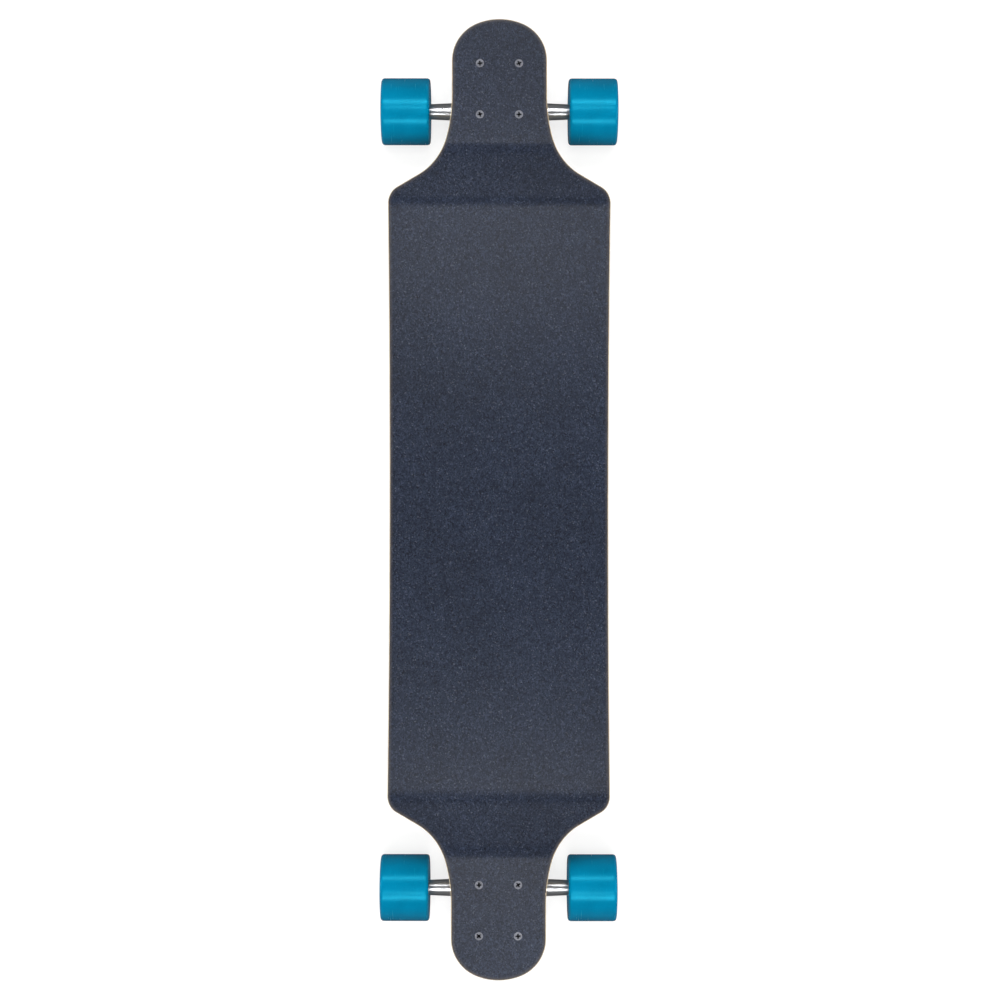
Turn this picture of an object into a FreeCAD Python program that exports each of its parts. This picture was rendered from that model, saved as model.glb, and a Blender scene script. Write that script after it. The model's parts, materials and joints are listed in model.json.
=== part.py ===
import FreeCAD
import Part
import math
import os

# Longboard skateboard: dropped deck, two reverse-kingpin trucks, four urethane wheels on ball bearings.
# Millimetres, +X to the nose, +Y to the rider's left, +Z up, ground at Z 0 under the middle of the board.

# Deck outline seen from above
DECK_LENGTH = 1016.0
NECK_WIDTH = 100.6
PLATFORM_WIDTH = 237.5
WAIST_NARROWING = 4.2
SHOULDER_FROM_NOSE = 192.0
NOSE_END_R = 63.5
NOSE_CORNER_R = 42.3
LEAD_IN_R = 169.0
LEAD_IN_ANGLE = 15.0
FLARE_R = 61.5
FLARE_ANGLE = 61.0
SHOULDER_R = 19.2

# Deck seen from the side
DECK_THICKNESS = 11.2
GRIP_THICKNESS = 0.9
GRIP_INSET = 1.2
DECK_EDGE_R = 1.2
PLATFORM_DROP = 20.0
DROP_ANGLE = 20.0
LOW_BEND_R = 45.0
HIGH_BEND_R = 30.0
BEND_PAST_SHOULDER = 4.0

# Wheels and their bearings
WHEEL_DIAMETER = 72.0
WHEEL_WIDTH = 53.0
LIP_R = 4.0
CORE_R = 18.0
CORE_BOND_GAP = 0.02
CORE_WEB_R = 8.6
CORE_GROOVE = 1.2
BEARING_WIDTH = 7.0
BEARING_R = 11.0
BEARING_SEAT_GAP = 0.02
SPACER_LENGTH = 10.0
SPACER_R = 5.1
INNER_RING_R = 6.05
OUTER_RING_INNER_R = 9.0
BALL_R = 1.98
BALL_PITCH_R = 7.5
BALL_COUNT = 7
BALL_GAP = 0.12
CAGE_R_IN = 6.75
CAGE_R_OUT = 8.25
CAGE_HALF_WIDTH = 2.6
CAGE_POCKET_GAP = 0.12
SHIELD_THICKNESS = 0.35
SHIELD_RECESS = 0.2
SHIELD_R_IN = 6.35
SHIELD_R_OUT = 9.5
SPEED_RING_THICKNESS = 1.0
SPEED_RING_R = 5.85

# Axle and hanger
AXLE_R = 4.0
AXLE_GAP = 0.02
AXLE_PAST_NUT = 1.5
AXLE_NUT_FLATS = 12.7
AXLE_NUT_HEIGHT = 7.6
HANGER_WIDTH = 177.8
ARM_ROOT_Y = 28.0
ARM_ROOT_R = 10.4
ARM_END_R = 7.7
RING_R = 19.0
RING_HALF = 6.0
RING_EDGE_R = 2.0
RING_WEB_HALF = 2.5
WING_ROOT_HALF = 17.0
WING_TIP_HALF = 47.0
WING_HALF_THICKNESS = 6.0
SPINE_R = 6.5
NOSE_R = 5.0
NOSE_GAP = 0.08
KINGPIN_HOLE_R = 7.2

# Truck geometry: axle place under the bolt pattern, steering axis, kingpin stack
TRUCK_FROM_NOSE = 74.0
TRUCK_HEIGHT = 66.0
AXLE_SET_BACK = 10.0
STEER_ANGLE = 45.0
RAKE = 8.0
AXLE_TO_RING = 31.0
BOLT_PATTERN_X = 53.98
BOLT_PATTERN_Y = 41.28
KINGPIN_R = 4.76
KINGPIN_GAP = 0.1
KINGPIN_HEAD_FLATS = 14.3
KINGPIN_HEAD_HEIGHT = 6.0
KINGPIN_HEAD_GAP = 0.3
KINGPIN_PAST_NUT = 2.0
KINGPIN_NUT_FLATS = 14.3
KINGPIN_NUT_HEIGHT = 10.7
BOARD_BUSHING_R = 13.5
BOARD_BUSHING_HEIGHT = 15.0
ROAD_BUSHING_R = 13.0
ROAD_BUSHING_TOP_R = 10.5
ROAD_BUSHING_HEIGHT = 13.0
BUSHING_BORE_GAP = 0.3
BUSHING_SEAT_GAP = 0.3
BUSHING_CHAMFER = 1.4
WASHER_THICKNESS = 1.8
WASHER_LIP = 1.1
WASHER_GAP = 0.15
SEAT_WALL = 9.0

# Baseplate and pivot cup
PLATE_INNER_X = -46.0
PLATE_OUTER_X = 40.0
PLATE_WIDTH = 62.0
PLATE_THICKNESS = 6.0
PLATE_CORNER_R = 10.0
PLATE_EDGE_R = 1.5
FIN_HEEL = 3.0
FIN_CLEAR = 13.0
FIN_EDGE_R = 2.5
FIN_BACK_R = 7.0
FIN_INSET = 1.3
BOSS_R = 17.5
HOUSING_R = 11.5
HOUSING_MOUTH = 10.8
HOUSING_DOME = 12.0
CUP_R = 7.6
CUP_DEPTH = 8.2
CUP_FLOOR = 1.6
CUP_GAP = 0.02

# Truck bolts and nuts
BOLT_R = 2.4
BOLT_HOLE_GAP = 0.3
BOLT_LENGTH = 28.6
BOLT_HEAD_R = 4.3
BOLT_HEAD_RIM = 0.35
BOLT_HEAD_SINK = 0.15
BOLT_SEAT_GAP = 0.05
RECESS_SPAN = 5.8
RECESS_SLOT = 1.8
RECESS_DEPTH = 1.9
BOLT_TURNS_FRONT = (5.0, 25.0, 12.0, 0.0)
BOLT_TURNS_REAR = (0.0, 45.0, 35.0, 3.0)
NUT_FLATS = 9.5
NUT_HEIGHT = 6.0
NUT_BORE_GAP = 0.02
NUT_ROOM = 1.2
COLLAR_SHARE = 0.3

# Values that follow from the sizes above
SHOULDER_X = DECK_LENGTH / 2 - SHOULDER_FROM_NOSE
PLATFORM_FLAT_X = SHOULDER_X - BEND_PAST_SHOULDER
TRUCK_X = DECK_LENGTH / 2 - TRUCK_FROM_NOSE
AXLE_Z = WHEEL_DIAMETER / 2
MOUNT_Z = AXLE_Z + TRUCK_HEIGHT
PLATFORM_Z = MOUNT_Z - PLATFORM_DROP
WHEEL_Y = HANGER_WIDTH / 2 + SPEED_RING_THICKNESS + BEARING_WIDTH + SPACER_LENGTH / 2
BEARING_Y = (SPACER_LENGTH + BEARING_WIDTH) / 2
STACK_HALF = SPACER_LENGTH / 2 + BEARING_WIDTH
NUT_Y = WHEEL_Y + STACK_HALF + SPEED_RING_THICKNESS
AXLE_HALF = NUT_Y + AXLE_NUT_HEIGHT + AXLE_PAST_NUT
BOARD_WASHER_Z = -(RING_WEB_HALF + BOARD_BUSHING_HEIGHT)
SEAT_Z = BOARD_WASHER_Z - WASHER_THICKNESS
HEAD_Z = SEAT_Z - SEAT_WALL
ROAD_WASHER_Z = RING_WEB_HALF + ROAD_BUSHING_HEIGHT
KINGPIN_NUT_Z = ROAD_WASHER_Z + WASHER_THICKNESS
KINGPIN_END_Z = KINGPIN_NUT_Z + KINGPIN_NUT_HEIGHT + KINGPIN_PAST_NUT
MOUTH_X = -(AXLE_TO_RING + HOUSING_MOUTH)
DOME_X = -(AXLE_TO_RING + HOUSING_DOME)
CUP_END_X = MOUTH_X - CUP_DEPTH
NOSE_TIP_X = CUP_END_X + CUP_FLOOR + NOSE_GAP

X_AXIS = FreeCAD.Vector(1, 0, 0)
Y_AXIS = FreeCAD.Vector(0, 1, 0)
Z_AXIS = FreeCAD.Vector(0, 0, 1)
ORIGIN = FreeCAD.Vector(0, 0, 0)
AXES = {"x": X_AXIS, "y": Y_AXIS, "z": Z_AXIS}


def vec(x, y, z):
    return FreeCAD.Vector(x, y, z)


def turn(points, axis):
    # Solid of revolution from (along, radius) points, about the axis named
    spin = AXES[axis]
    out = Y_AXIS if axis == "x" else X_AXIS
    corners = [spin * a + out * r for a, r in points]
    face = Part.Face(Part.makePolygon(corners + corners[:1]))
    return face.revolve(ORIGIN, spin, 360)


def rod(radius, start, end, axis):
    return Part.makeCylinder(radius, end - start, AXES[axis] * start, AXES[axis])


def hexagon(flats, start, end):
    corner = flats / math.sqrt(3)
    turns = [math.radians(60 * i) for i in range(7)]
    points = [vec(corner * math.cos(a), corner * math.sin(a), start) for a in turns]
    return Part.Face(Part.makePolygon(points)).extrude(vec(0, 0, end - start))


def lock_nut(flats, height, bore):
    # Hexagon with both ends chamfered and a round locking collar, seat at z 0
    corner = flats / math.sqrt(3)
    hex_top = height * (1 - COLLAR_SHARE)
    bevel = corner - flats / 2
    blank = turn([(0, 0), (0, flats / 2), (bevel * 0.6, corner), (hex_top - bevel * 0.6, corner),
                  (hex_top, flats / 2), (hex_top, 0)], "z")
    collar_r = flats * 0.43
    collar = turn([(hex_top - 0.5, 0), (hex_top - 0.5, collar_r), (height - 1.0, collar_r),
                   (height, collar_r - 1.0), (height, 0)], "z")
    nut = hexagon(flats, 0, hex_top).common(blank).fuse(collar)
    return nut.cut(rod(bore, -1, height + 1, "z")).removeSplitter()


def group(shapes):
    return Part.makeCompound(shapes)


def arc_by(point, heading, radius, angle):
    # Arc that turns left for a positive angle; gives the edge, its end and the new heading
    side = math.copysign(1, angle)
    normal = math.radians(heading + 90 * side)
    centre = point + vec(math.cos(normal), math.sin(normal), 0) * radius

    def at(share):
        around = math.radians(heading - 90 * side + angle * share)
        return centre + vec(math.cos(around), math.sin(around), 0) * radius
    return Part.Arc(point, at(0.5), at(1)).toShape(), at(1), heading + angle


def line_by(point, heading, length):
    end = point + vec(math.cos(math.radians(heading)), math.sin(math.radians(heading)), 0) * length
    return Part.LineSegment(point, end).toShape(), end, heading


def deck_outline(inset):
    # One quarter from the nose tip to the waist, then mirrored to the whole outline
    nose = math.degrees(math.asin((NECK_WIDTH / 2 - NOSE_CORNER_R) / (NOSE_END_R - NOSE_CORNER_R)))
    nose_length = NOSE_END_R - (NOSE_END_R - NOSE_CORNER_R) * math.cos(math.radians(nose))
    lead, flare = math.radians(LEAD_IN_ANGLE), math.radians(FLARE_ANGLE)
    rise = LEAD_IN_R * (1 - math.cos(lead)) + FLARE_R * (math.cos(lead) - math.cos(flare))
    rise += SHOULDER_R * (1 - math.cos(flare))
    straight = ((PLATFORM_WIDTH - NECK_WIDTH) / 2 - rise) / math.sin(flare)
    run = LEAD_IN_R * math.sin(lead) + FLARE_R * (math.sin(flare) - math.sin(lead))
    run += straight * math.cos(flare) + SHOULDER_R * math.sin(flare)
    neck_length = DECK_LENGTH / 2 - nose_length - SHOULDER_X - run
    waist = 2 * math.atan(WAIST_NARROWING / 2 / SHOULDER_X)
    waist_r = SHOULDER_X / math.sin(waist) - SHOULDER_R
    waist = math.degrees(waist)
    steps = ((NOSE_END_R - inset, nose), (NOSE_CORNER_R - inset, 90 - nose), (neck_length, None),
             (LEAD_IN_R + inset, -LEAD_IN_ANGLE), (FLARE_R + inset, LEAD_IN_ANGLE - FLARE_ANGLE),
             (straight, None), (SHOULDER_R - inset, FLARE_ANGLE + waist), (waist_r + inset, -waist))
    point, heading, quarter = vec(DECK_LENGTH / 2 - inset, 0, 0), 90.0, []
    for size, angle in steps:
        if angle is None:
            edge, point, heading = line_by(point, heading, size)
        else:
            edge, point, heading = arc_by(point, heading, size, angle)
        quarter.append(edge)
    half = quarter + [e.mirror(ORIGIN, X_AXIS) for e in quarter]
    whole = half + [e.mirror(ORIGIN, Y_AXIS) for e in half]
    return Part.Wire(Part.__sortEdges__(whole))


def profile_edges(lift):
    # Side line of one layer face, from the middle to the nose, lifted off the underside
    angle = math.radians(DROP_ANGLE)
    low, high = LOW_BEND_R - lift, HIGH_BEND_R + lift
    bends = (LOW_BEND_R + HIGH_BEND_R) * (1 - math.cos(angle))
    slope = (PLATFORM_DROP - bends) / math.sin(angle)
    point, heading, edges = vec(0, PLATFORM_Z + lift, 0), 0.0, []
    for size, bend in ((PLATFORM_FLAT_X, None), (low, DROP_ANGLE), (slope, None), (high, -DROP_ANGLE),
                       (DECK_LENGTH / 4, None)):
        if bend is None:
            edge, point, heading = line_by(point, heading, size)
        else:
            edge, point, heading = arc_by(point, heading, size, bend)
        edges.append(edge)
    return edges, point


def layer(bottom, top, inset):
    # Board layer between two lifts, cut to the outline
    low, low_end = profile_edges(bottom)
    high, high_end = profile_edges(top)
    half = low + high + [Part.LineSegment(low_end, high_end).toShape()]
    mirrored = [e.mirror(ORIGIN, X_AXIS) for e in half]
    face = Part.Face(Part.Wire(Part.__sortEdges__(half + mirrored)))
    face.rotate(ORIGIN, X_AXIS, 90)
    strip = face.extrude(vec(0, PLATFORM_WIDTH + 20, 0))
    strip.translate(vec(0, -PLATFORM_WIDTH / 2 - 10, 0))
    prism = Part.Face(deck_outline(inset)).extrude(vec(0, 0, MOUNT_Z * 2))
    return strip.common(prism).removeSplitter()


def rim_edges(shape):
    # Edges between the upright rim of a board layer and its top or underside
    found = []
    for edge in shape.Edges:
        faces = shape.ancestorsOfType(edge, Part.Face)
        upright = 0
        for face in faces:
            u0, u1, v0, v1 = face.ParameterRange
            upright += abs(face.normalAt((u0 + u1) / 2, (v0 + v1) / 2).z) < 0.01
        if len(faces) == 2 and upright == 1:
            found.append(edge)
    return found


def truck_frame(shape, end):
    # Truck frame: bolt pattern middle on the mount face, +X outward, to the board
    moved = shape.copy()
    moved.translate(vec(TRUCK_X, 0, MOUNT_Z))
    if end < 0:
        moved.rotate(ORIGIN, Z_AXIS, 180)
    return moved


def steer_frame():
    # Steering frame: +X along the steering axis up and outward, +Z along the kingpin to its nut
    c, s = math.cos(math.radians(STEER_ANGLE)), math.sin(math.radians(STEER_ANGLE))
    axle = vec(-AXLE_SET_BACK, 0, -TRUCK_HEIGHT)
    ring = axle - vec(s, 0, -c) * RAKE + vec(c, 0, s) * AXLE_TO_RING
    return FreeCAD.Placement(FreeCAD.Matrix(c, 0, s, ring.x, 0, -1, 0, 0, s, 0, -c, ring.z, 0, 0, 0, 1))


STEER = steer_frame()


def steered(shape):
    moved = shape.copy()
    moved.Placement = STEER.multiply(moved.Placement)
    return moved


def at_axle(shape):
    moved = shape.copy()
    moved.translate(vec(-AXLE_SET_BACK, 0, -TRUCK_HEIGHT))
    return moved


def bolt_places():
    return [(sx * BOLT_PATTERN_X / 2, sy * BOLT_PATTERN_Y / 2) for sx in (1, -1) for sy in (1, -1)]


def make_bolt(turned):
    # Countersunk screw with its head face at z 0 and a tapered cross recess
    shank_z = -(BOLT_HEAD_RIM + BOLT_HEAD_R - BOLT_R)
    body = turn([(0, 0), (0, BOLT_HEAD_R), (-BOLT_HEAD_RIM, BOLT_HEAD_R), (shank_z, BOLT_R),
                 (0.6 - BOLT_LENGTH, BOLT_R), (-BOLT_LENGTH, BOLT_R - 0.6), (-BOLT_LENGTH, 0)], "z")
    for quarter in (0, 90):
        wires = []
        for z, share in ((0.1, 1.0), (-RECESS_DEPTH, 0.4)):
            a, b = RECESS_SPAN / 2 * share, RECESS_SLOT / 2 * (0.5 + share / 2)
            wires.append(Part.makePolygon([vec(-a, -b, z), vec(a, -b, z), vec(a, b, z), vec(-a, b, z),
                                           vec(-a, -b, z)]))
        slot = Part.makeLoft(wires, True, True)
        slot.rotate(ORIGIN, Z_AXIS, turned + quarter)
        body = body.cut(slot)
    return body


def bolt_seat():
    # Countersink and clearance hole for one bolt, head face at z 0
    head = BOLT_HEAD_R + BOLT_SEAT_GAP
    hole = BOLT_R + BOLT_HOLE_GAP
    cone_z = -(BOLT_HEAD_RIM + BOLT_SEAT_GAP)
    return turn([(5, 0), (5, head), (cone_z, head), (cone_z - (head - hole), hole),
                 (-BOLT_LENGTH, hole), (-BOLT_LENGTH, 0)], "z")


def make_baseplate():
    plate = Part.makeBox(PLATE_OUTER_X - PLATE_INNER_X, PLATE_WIDTH, PLATE_THICKNESS,
                         vec(PLATE_INNER_X, -PLATE_WIDTH / 2, -PLATE_THICKNESS))
    uprights = [e for e in plate.Edges if abs(e.tangentAt(e.FirstParameter).z) > 0.9]
    plate = plate.makeFillet(PLATE_CORNER_R, uprights)
    lower = [e for e in plate.Edges if e.BoundBox.ZMax < -PLATE_THICKNESS + 0.01]
    plate = plate.makeFillet(PLATE_EDGE_R, lower)
    # Fin from the plate down to the pivot housing, a little inside it; its round back runs into the dome
    half = HOUSING_R - FIN_INSET
    front_x = MOUTH_X - FIN_INSET
    rise = -PLATE_THICKNESS / 2 - STEER.multVec(vec(0, 0, SEAT_Z)).z
    toe_x = rise / math.sin(math.radians(STEER_ANGLE))
    dome = STEER.multVec(vec(DOME_X, 0, 0))
    heel = vec(PLATE_INNER_X + FIN_HEEL, 0, -PLATE_THICKNESS / 2)
    reach = dome - heel
    bearing = math.atan2(reach.z, reach.x) - math.asin(half / reach.Length)
    back = heel + vec(math.cos(bearing), 0, math.sin(bearing)) * math.sqrt(reach.Length ** 2 - half ** 2)
    corners = [STEER.multVec(vec(x, 0, z)) for x, z in
               ((toe_x, SEAT_Z), (-BOSS_R, SEAT_Z), (front_x, -FIN_CLEAR), (front_x, 0), (DOME_X, 0))]
    corners += [back, heel]
    fin = Part.Face(Part.makePolygon(corners + corners[:1])).extrude(vec(0, 2 * half, 0))
    fin.translate(vec(0, -half, 0))

    def side_edges(start, end):
        middle = (start + end) / 2
        return [e for e in fin.Edges if abs(abs(e.CenterOfMass.y) - half) < 0.001
                and math.hypot(e.CenterOfMass.x - middle.x, e.CenterOfMass.z - middle.z) < 0.01]
    fin = fin.makeFillet(FIN_BACK_R, side_edges(back, heel))
    fin = fin.makeFillet(FIN_EDGE_R, side_edges(corners[0], corners[1]) + side_edges(corners[1], corners[2]))
    # Round boss under the bushing and round pivot housing
    boss = steered(rod(BOSS_R, SEAT_Z - 40, SEAT_Z, "z"))
    below = Part.makeBox(200, 200, 100, vec(-100, -100, -100 - PLATE_THICKNESS / 2))
    cap = Part.makeSphere(HOUSING_R, vec(DOME_X, 0, 0), vec(-1, 0, 0), 0, 90, 360)
    housing = rod(HOUSING_R, DOME_X, MOUTH_X, "x").fuse(cap)
    body = plate.fuse([fin, boss.common(below), steered(housing)]).removeSplitter()
    # Kingpin hole, pocket for its head, cup bore, bolt holes and room round each nut
    body = body.cut(steered(rod(KINGPIN_R + KINGPIN_GAP, SEAT_Z - 60, 0, "z")))
    body = body.cut(steered(hexagon(KINGPIN_HEAD_FLATS + 2 * KINGPIN_HEAD_GAP, HEAD_Z - 60, HEAD_Z)))
    body = body.cut(steered(rod(CUP_R + CUP_GAP, CUP_END_X, 0, "x").common(
        Part.makeBox(40, 60, 60, vec(CUP_END_X, -30, -30)))))
    for x, y in bolt_places():
        body = body.cut(Part.makeCylinder(BOLT_R + BOLT_HOLE_GAP, 60, vec(x, y, -60)))
        room = NUT_FLATS / math.sqrt(3) + NUT_ROOM
        body = body.cut(Part.makeCylinder(room, 60, vec(x, y, -60 - PLATE_THICKNESS)))
    return body


def make_hanger():
    # Ring around the kingpin, with rounded rims
    e = RING_EDGE_R
    ring = rod(RING_R, -RING_HALF, RING_HALF, "z")
    ring = ring.makeFillet(e, [edge for edge in ring.Edges if abs(abs(edge.BoundBox.ZMax) - RING_HALF) < 0.01
                               and edge.BoundBox.ZLength < 0.01])
    # Two tapered arms about the axle
    half = HANGER_WIDTH / 2
    arms = turn([(-half, 0), (-half, ARM_END_R - 0.8), (0.8 - half, ARM_END_R), (-ARM_ROOT_Y, ARM_ROOT_R),
                 (ARM_ROOT_Y, ARM_ROOT_R), (half - 0.8, ARM_END_R), (half, ARM_END_R - 0.8), (half, 0)], "y")
    arms.translate(vec(-AXLE_TO_RING, 0, RAKE))

    def slot(x, reach, z):
        t = WING_HALF_THICKNESS
        a, b, c, d = vec(x, -reach, z - t), vec(x, reach, z - t), vec(x, reach, z + t), vec(x, -reach, z + t)
        edges = [Part.LineSegment(a, b), Part.Arc(b, vec(x, reach + t, z), c), Part.LineSegment(c, d),
                 Part.Arc(d, vec(x, -reach - t, z), a)]
        return Part.Wire([edge.toShape() for edge in edges])
    # Wing between ring and arms, spine and pivot nose along the steering axis
    root = slot(0, WING_ROOT_HALF - WING_HALF_THICKNESS, 0)
    wing = Part.makeLoft([root, slot(-AXLE_TO_RING, WING_TIP_HALF, RAKE)], True, True)
    neck_x, tip_x = MOUTH_X + 2.0, NOSE_TIP_X + NOSE_R
    spine = turn([(-8, 0), (-8, SPINE_R), (neck_x + 5, SPINE_R), (neck_x, NOSE_R), (tip_x, NOSE_R),
                  (tip_x, 0)], "x")
    tip = Part.makeSphere(NOSE_R, vec(tip_x, 0, 0))
    body = ring.fuse([arms, wing, spine, tip]).removeSplitter()
    # Bushing seats, kingpin hole and axle bore
    body = body.cut(rod(BOARD_BUSHING_R + BUSHING_SEAT_GAP, -30, -RING_WEB_HALF, "z"))
    body = body.cut(rod(ROAD_BUSHING_R + BUSHING_SEAT_GAP, RING_WEB_HALF, 30, "z"))
    body = body.cut(rod(KINGPIN_HOLE_R, -30, 30, "z"))
    bore = rod(AXLE_R + AXLE_GAP, -half - 1, half + 1, "y")
    bore.translate(vec(-AXLE_TO_RING, 0, RAKE))
    return body.cut(bore)


def make_kingpin():
    head = hexagon(KINGPIN_HEAD_FLATS, HEAD_Z - KINGPIN_HEAD_HEIGHT, HEAD_Z)
    corner = KINGPIN_HEAD_FLATS / math.sqrt(3)
    blank = turn([(HEAD_Z, 0), (HEAD_Z, corner), (HEAD_Z - KINGPIN_HEAD_HEIGHT + 1, corner),
                  (HEAD_Z - KINGPIN_HEAD_HEIGHT, corner - 1.7), (HEAD_Z - KINGPIN_HEAD_HEIGHT, 0)], "z")
    shank = turn([(HEAD_Z - 1, 0), (HEAD_Z - 1, KINGPIN_R), (KINGPIN_END_Z - 0.8, KINGPIN_R),
                  (KINGPIN_END_Z, KINGPIN_R - 0.8), (KINGPIN_END_Z, 0)], "z")
    return head.common(blank).fuse(shank).removeSplitter()


def make_bushing(root_r, top_r, start, height):
    # Urethane bushing from the hanger ring outward; the outer end is chamfered for the cup washer
    bore = KINGPIN_R + BUSHING_BORE_GAP
    side = math.copysign(1, start)
    end = start + side * height
    return turn([(start, bore), (start, root_r - 0.8), (start + side * 0.8, root_r),
                 (end - side * BUSHING_CHAMFER, top_r), (end, top_r - BUSHING_CHAMFER), (end, bore)], "z")


def make_washer(top_r, start, side):
    # Cup washer against the bushing end, its lip around the chamfer
    bore = KINGPIN_R + KINGPIN_GAP
    far = start + side * WASHER_THICKNESS
    foot = top_r - BUSHING_CHAMFER + WASHER_GAP
    rim = foot + WASHER_LIP
    lip = start - side * WASHER_LIP
    return turn([(start, bore), (start, foot), (lip, rim), (lip, rim + 1.2), (far - side * 0.6, rim + 0.9),
                 (far, rim), (far, bore)], "z")


def make_pivot_cup():
    bore = NOSE_R + NOSE_GAP
    cup = turn([(MOUTH_X, 0), (MOUTH_X, CUP_R), (CUP_END_X + 0.6, CUP_R), (CUP_END_X, CUP_R - 0.6),
                (CUP_END_X, 0)], "x")
    hollow = rod(bore, NOSE_TIP_X + NOSE_R, MOUTH_X + 1, "x")
    return cup.cut(hollow).cut(Part.makeSphere(bore, vec(NOSE_TIP_X + NOSE_R, 0, 0)))


def make_tyre():
    half, outer = WHEEL_WIDTH / 2, WHEEL_DIAMETER / 2
    bond, seat = CORE_R + CORE_BOND_GAP, STACK_HALF
    face = [(seat, bond), (seat + 2.5, CORE_R + 1.5), (half - 1.5, outer - 9), (half, outer - LIP_R)]
    section = [(-a, r) for a, r in reversed(face)] + face
    points = [vec(r, a, 0) for a, r in section]
    edges = [Part.LineSegment(p, q).toShape() for p, q in zip(points, points[1:])]
    corner = LIP_R * math.sqrt(0.5)
    rims = []
    for side in (1, -1):
        start = vec(outer - LIP_R, side * half, 0)
        middle = vec(outer - LIP_R + corner, side * (half - LIP_R + corner), 0)
        rims.append((start, middle, vec(outer, side * (half - LIP_R), 0)))
        edges.append(Part.Arc(*rims[-1]).toShape())
    edges.append(Part.LineSegment(rims[0][2], rims[1][2]).toShape())
    return Part.Face(Part.Wire(Part.__sortEdges__(edges))).revolve(ORIGIN, Y_AXIS, 360)


def make_core():
    # Bearing seat at each face, a web between them and a shallow groove round each face
    seat, web = BEARING_R + BEARING_SEAT_GAP, SPACER_LENGTH / 2
    half = STACK_HALF
    groove = half - CORE_GROOVE
    face = [(half, CORE_R), (half, 16.2), (groove, 15.8), (groove, 13.6), (half, 13.2), (half, seat),
            (web, seat), (web, CORE_WEB_R)]
    return turn(face + [(-a, r) for a, r in reversed(face)], "y")


def at_bearings(shape):
    shapes = []
    for side in (-1, 1):
        moved = shape.copy()
        moved.translate(vec(0, side * BEARING_Y, 0))
        shapes.append(moved)
    return group(shapes)


def ball_track():
    return Part.makeTorus(BALL_PITCH_R, BALL_R + BALL_GAP, ORIGIN, Y_AXIS)


def make_outer_ring():
    half = BEARING_WIDTH / 2
    land = half - SHIELD_RECESS - SHIELD_THICKNESS
    groove = SHIELD_R_OUT + 0.02
    ring = turn([(-half, groove), (-half, BEARING_R - 0.3), (0.3 - half, BEARING_R), (half - 0.3, BEARING_R),
                 (half, BEARING_R - 0.3), (half, groove), (land, groove), (land, OUTER_RING_INNER_R),
                 (-land, OUTER_RING_INNER_R), (-land, groove)], "y")
    return ring.cut(ball_track())


def make_inner_ring():
    half = BEARING_WIDTH / 2
    return washer_ring(INNER_RING_R, -half, half).cut(ball_track())


def around(shape):
    copies = []
    for i in range(BALL_COUNT):
        moved = shape.copy()
        moved.rotate(ORIGIN, Y_AXIS, 360.0 * i / BALL_COUNT)
        copies.append(moved)
    return copies


def make_balls():
    return group(around(Part.makeSphere(BALL_R, vec(BALL_PITCH_R, 0, 0))))


def make_cage():
    w = CAGE_HALF_WIDTH
    ring = turn([(-w, CAGE_R_IN), (-w, CAGE_R_OUT), (w, CAGE_R_OUT), (w, CAGE_R_IN)], "y")
    pocket = Part.makeCylinder(BALL_R + CAGE_POCKET_GAP, 6, vec(BALL_PITCH_R - 3, 0, 0), X_AXIS)
    return ring.cut(around(pocket))


def make_shields():
    outer = BEARING_WIDTH / 2 - SHIELD_RECESS
    shapes = []
    for side in (-1, 1):
        near, far = side * (outer - SHIELD_THICKNESS), side * outer
        shapes.append(turn([(near, SHIELD_R_IN), (near, SHIELD_R_OUT), (far, SHIELD_R_OUT),
                            (far, SHIELD_R_IN)], "y"))
    return group(shapes)


def washer_ring(radius, start, end):
    bore = AXLE_R + AXLE_GAP
    return turn([(start, bore), (start, radius), (end, radius), (end, bore)], "y")


def at_wheel(shape, end, side):
    moved = at_axle(shape)
    moved = truck_frame(moved, end)
    moved.translate(vec(0, side * WHEEL_Y, 0))
    return moved


def keep(name, shape):
    shape.exportStep("parts/" + name + ".step")


os.makedirs("parts", exist_ok=True)

# Deck and griptape, drilled for the bolts
head_z = MOUNT_Z + DECK_THICKNESS + GRIP_THICKNESS - BOLT_HEAD_SINK
deck = layer(0.0, DECK_THICKNESS, 0.0)
deck = deck.makeFillet(DECK_EDGE_R, rim_edges(deck))
grip = layer(DECK_THICKNESS, DECK_THICKNESS + GRIP_THICKNESS, GRIP_INSET)
for end in (1, -1):
    for x, y in bolt_places():
        seat = bolt_seat()
        seat.translate(vec(end * (TRUCK_X + x), y, head_z))
        deck = deck.cut(seat)
        grip = grip.cut(seat)
keep("deck", deck)
keep("grip_tape", grip)

# The two trucks: the rear one is the front one turned half round
arm_nut = lock_nut(AXLE_NUT_FLATS, AXLE_NUT_HEIGHT, AXLE_R + AXLE_GAP)
baseplate = make_baseplate()
hanger = steered(make_hanger())
kingpin = steered(make_kingpin())
kingpin_nut = lock_nut(KINGPIN_NUT_FLATS, KINGPIN_NUT_HEIGHT, KINGPIN_R + AXLE_GAP)
kingpin_nut.translate(vec(0, 0, KINGPIN_NUT_Z))
board_bushing = make_bushing(BOARD_BUSHING_R, BOARD_BUSHING_R, -RING_WEB_HALF, BOARD_BUSHING_HEIGHT)
road_bushing = make_bushing(ROAD_BUSHING_R, ROAD_BUSHING_TOP_R, RING_WEB_HALF, ROAD_BUSHING_HEIGHT)
board_washer = make_washer(BOARD_BUSHING_R, BOARD_WASHER_Z, -1)
road_washer = make_washer(ROAD_BUSHING_TOP_R, ROAD_WASHER_Z, 1)
axle_end = [(AXLE_HALF - 0.7, AXLE_R), (AXLE_HALF, AXLE_R - 0.7), (AXLE_HALF, 0)]
axle = turn([(-a, r) for a, r in reversed(axle_end)] + axle_end, "y")
axle_nuts, speed_rings, inner_rings, spacers = [], [], [], []
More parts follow.
